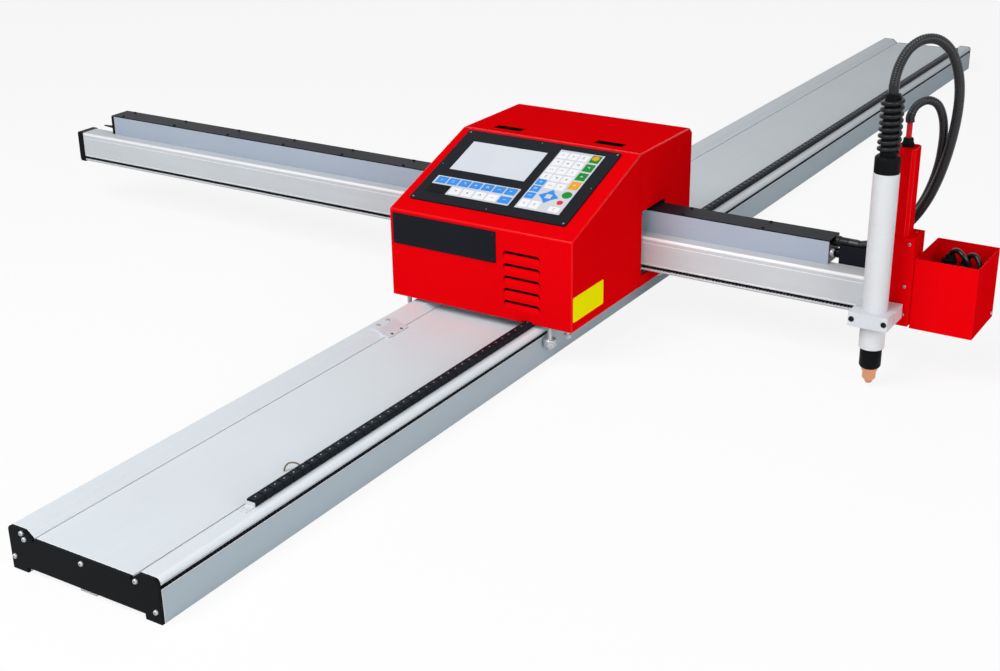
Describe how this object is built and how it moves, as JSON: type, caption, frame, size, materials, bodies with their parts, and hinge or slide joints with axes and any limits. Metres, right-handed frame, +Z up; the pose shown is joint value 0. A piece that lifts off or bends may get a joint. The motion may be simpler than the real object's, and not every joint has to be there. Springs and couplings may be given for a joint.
{
  "type": "portable cnc plasma cutter",
  "caption": "Floor rail with a rolling red control carriage, a sliding cross beam and a motorised lifter that holds a plasma torch.",
  "frame": {"origin": "middle of the rail's underside, on the floor", "axes": "+X across the rail towards the torch, +Y along the rail away from the control panel, +Z up"},
  "size_m": [1.996, 3.406, 0.576],
  "materials": {
    "brushed_rail": "brushed lengthwise, clear anodised",
    "anodised_beam": "extruded, clear anodised",
    "bright_aluminium": "milled",
    "torch_aluminium": "satin turned",
    "red_paint": "glossy powder coat",
    "bezel_black": "satin",
    "black_plastic": "fine grain",
    "black_rubber": "satin",
    "motor_black": "satin",
    "black_steel": "black oxide",
    "zinc_screw": "zinc plated",
    "zinc_case": "zinc plated sheet",
    "rack_steel": "machined",
    "screen_glass": "smooth",
    "keypad_film": "embossed film",
    "yellow_film": "smooth film",
    "board_green": "board lacquer",
    "white_nylon": "turned nylon"
  },
  "bodies": {
    "rail": {"rail_extrusion": "brushed_rail", "rail_end_caps": "black_plastic", "rail_cap_screws": "zinc_screw", "y_rack": "rack_steel", "drag_chain": "black_plastic", "chain_bracket": "bright_aluminium", "splice_plate": "bright_aluminium"},
    "carriage": {"base_plate": "bright_aluminium", "front_cover": "red_paint", "rear_cover": "red_paint", "panel_bezel": "bezel_black", "screen": "screen_glass", "right_keypad": "keypad_film", "lower_keypad": "keypad_film", "name_plate": "bezel_black", "side_patch": "yellow_film", "cover_screws": "zinc_screw", "wheel_brackets": "bright_aluminium", "roller_axles": "rack_steel", "y_motor": "motor_black", "x_motor": "motor_black", "beam_guide": "bright_aluminium", "power_supply": "zinc_case", "motor_drivers": "motor_black", "controller_board": "board_green", "rear_sockets": "black_plastic"},
    "beam": {"beam_extrusion": "anodised_beam", "beam_end_caps": "black_plastic", "x_rack": "rack_steel", "cable_duct": "anodised_beam", "duct_lid": "bezel_black", "duct_glands": "black_rubber", "backing_plate": "bezel_black", "lifter_housing": "red_paint", "motor_cover": "red_paint", "lifter_guides": "motor_black", "cable_box": "red_paint", "box_connectors": "black_plastic", "motor_hose": "black_rubber"},
    "z_slide": {"slide_carriage": "bright_aluminium", "torch_clamp": "bright_aluminium", "clamp_screws": "black_steel", "torch_tube": "torch_aluminium", "torch_boot": "black_rubber", "torch_hose": "black_rubber"},
    "lead_screw": {"lead_screw": "rack_steel"},
    "y_pinion": {"y_pinion": "rack_steel"},
    "x_pinion": {"x_pinion": "rack_steel"},
    "rail_roller_1": {"rail_roller_1": "white_nylon"},
    "rail_roller_2": {"rail_roller_2": "white_nylon"},
    "rail_roller_3": {"rail_roller_3": "white_nylon"},
    "rail_roller_4": {"rail_roller_4": "white_nylon"},
    "side_roller_1": {"side_roller_1": "white_nylon"},
    "side_roller_2": {"side_roller_2": "white_nylon"},
    "side_roller_3": {"side_roller_3": "white_nylon"},
    "side_roller_4": {"side_roller_4": "white_nylon"},
    "beam_roller_1": {"beam_roller_1": "white_nylon"},
    "beam_roller_2": {"beam_roller_2": "white_nylon"},
    "beam_roller_3": {"beam_roller_3": "white_nylon"},
    "beam_roller_4": {"beam_roller_4": "white_nylon"}
  },
  "joints": [
    {"name": "rail_travel", "type": "slide", "parent": "rail", "child": "carriage", "axis": [0, 1, 0], "range_m": [-0.88, 2.02]},
    {"name": "beam_travel", "type": "slide", "parent": "carriage", "child": "beam", "axis": [1, 0, 0], "range_m": [-0.32, 0.95]},
    {"name": "torch_lift", "type": "slide", "parent": "beam", "child": "z_slide", "axis": [0, 0, 1], "range_m": [-0.114, 0.005], "deforming": ["torch_hose"]},
    {"name": "lead_screw_turn", "type": "hinge", "parent": "beam", "child": "lead_screw", "pos_m": [0.649, -0.5255, 0.2], "axis": [0, 0, 1], "range_deg": [-8300, 400]},
    {"name": "y_pinion_turn", "type": "hinge", "parent": "carriage", "child": "y_pinion", "pos_m": [0.1485, -0.63, 0.052], "axis": [0, 0, 1], "continuous": true},
    {"name": "x_pinion_turn", "type": "hinge", "parent": "carriage", "child": "x_pinion", "pos_m": [0.0145, -0.5525, 0.11], "axis": [0, 0, 1], "continuous": true},
    {"name": "rail_roller_1_turn", "type": "hinge", "parent": "carriage", "child": "rail_roller_1", "pos_m": [-0.125, -0.72, 0.0773], "axis": [1, 0, 0], "continuous": true},
    {"name": "rail_roller_2_turn", "type": "hinge", "parent": "carriage", "child": "rail_roller_2", "pos_m": [-0.125, -0.42, 0.0773], "axis": [1, 0, 0], "continuous": true},
    {"name": "rail_roller_3_turn", "type": "hinge", "parent": "carriage", "child": "rail_roller_3", "pos_m": [0.125, -0.72, 0.0773], "axis": [1, 0, 0], "continuous": true},
    {"name": "rail_roller_4_turn", "type": "hinge", "parent": "carriage", "child": "rail_roller_4", "pos_m": [0.125, -0.42, 0.0773], "axis": [1, 0, 0], "continuous": true},
    {"name": "side_roller_1_turn", "type": "hinge", "parent": "carriage", "child": "side_roller_1", "pos_m": [-0.1443, -0.774, 0.039], "axis": [0, 0, 1], "continuous": true},
    {"name": "side_roller_2_turn", "type": "hinge", "parent": "carriage", "child": "side_roller_2", "pos_m": [-0.1443, -0.366, 0.039], "axis": [0, 0, 1], "continuous": true},
    {"name": "side_roller_3_turn", "type": "hinge", "parent": "carriage", "child": "side_roller_3", "pos_m": [0.1443, -0.774, 0.039], "axis": [0, 0, 1], "continuous": true},
    {"name": "side_roller_4_turn", "type": "hinge", "parent": "carriage", "child": "side_roller_4", "pos_m": [0.1443, -0.366, 0.039], "axis": [0, 0, 1], "continuous": true},
    {"name": "beam_roller_1_turn", "type": "hinge", "parent": "carriage", "child": "beam_roller_1", "pos_m": [-0.12, -0.523, 0.0927], "axis": [0, 1, 0], "continuous": true},
    {"name": "beam_roller_2_turn", "type": "hinge", "parent": "carriage", "child": "beam_roller_2", "pos_m": [0.15, -0.523, 0.0927], "axis": [0, 1, 0], "continuous": true},
    {"name": "beam_roller_3_turn", "type": "hinge", "parent": "carriage", "child": "beam_roller_3", "pos_m": [-0.08, -0.525, 0.1753], "axis": [0, 1, 0], "continuous": true},
    {"name": "beam_roller_4_turn", "type": "hinge", "parent": "carriage", "child": "beam_roller_4", "pos_m": [0.11, -0.525, 0.1753], "axis": [0, 1, 0], "continuous": true}
  ],
  "couplings": [
    {"joint": "lead_screw_turn", "follows": "torch_lift", "rad_per_m": 1256.6},
    {"joint": "y_pinion_turn", "follows": "rail_travel", "rad_per_m": 55.556},
    {"joint": "x_pinion_turn", "follows": "beam_travel", "rad_per_m": -55.556},
    {"joint": "rail_roller_1_turn", "follows": "rail_travel", "rad_per_m": -83.333},
    {"joint": "rail_roller_2_turn", "follows": "rail_travel", "rad_per_m": -83.333},
    {"joint": "rail_roller_3_turn", "follows": "rail_travel", "rad_per_m": -83.333},
    {"joint": "rail_roller_4_turn", "follows": "rail_travel", "rad_per_m": -83.333},
    {"joint": "side_roller_1_turn", "follows": "rail_travel", "rad_per_m": -90.909},
    {"joint": "side_roller_2_turn", "follows": "rail_travel", "rad_per_m": -90.909},
    {"joint": "side_roller_3_turn", "follows": "rail_travel", "rad_per_m": 90.909},
    {"joint": "side_roller_4_turn", "follows": "rail_travel", "rad_per_m": 90.909},
    {"joint": "beam_roller_1_turn", "follows": "beam_travel", "rad_per_m": 111.11},
    {"joint": "beam_roller_2_turn", "follows": "beam_travel", "rad_per_m": 111.11},
    {"joint": "beam_roller_3_turn", "follows": "beam_travel", "rad_per_m": -111.11},
    {"joint": "beam_roller_4_turn", "follows": "beam_travel", "rad_per_m": -111.11}
  ]
}
